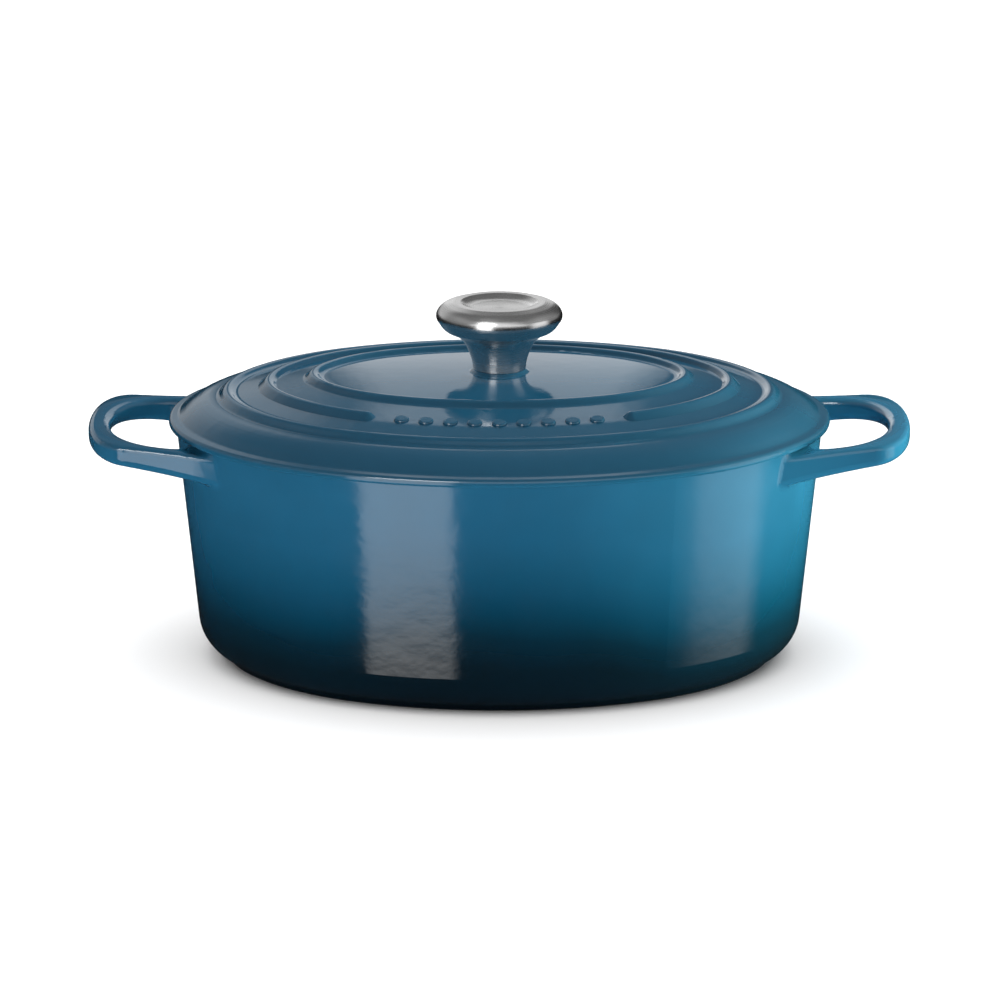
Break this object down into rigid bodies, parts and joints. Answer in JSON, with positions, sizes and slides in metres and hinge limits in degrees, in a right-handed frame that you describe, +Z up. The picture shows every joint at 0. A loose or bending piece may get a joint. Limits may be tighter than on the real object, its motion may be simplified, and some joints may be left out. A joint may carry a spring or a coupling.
{
  "type": "oval cast iron dutch oven",
  "caption": "Oval enamelled cast iron cooking pot with loop handles and a domed lift-off lid, raised rings and a stainless knob.",
  "frame": {"origin": "on the floor under the middle of the pot", "axes": "+X along the long axis towards one loop handle, -Y the front with the row of pips on the lid, +Z up"},
  "size_m": [0.3724, 0.2368, 0.1645],
  "materials": {
    "pot_enamel": "gloss enamel, dark at the base and teal blue above",
    "lid_enamel": "gloss enamel, teal blue",
    "knob_steel": "satin brushed",
    "insert_steel": "machined",
    "fixing_steel": "satin"
  },
  "bodies": {
    "pot": {"pot": "pot_enamel"},
    "lid": {"lid": "lid_enamel", "knob_body": "knob_steel", "knob_cap": "knob_steel", "knob_insert": "insert_steel", "knob_screw": "fixing_steel", "screw_washer": "fixing_steel"}
  },
  "joints": [
    {"name": "lid_lift", "type": "slide", "parent": "pot", "child": "lid", "axis": [0, 0, 1], "range_m": [0, 0.2]}
  ]
}
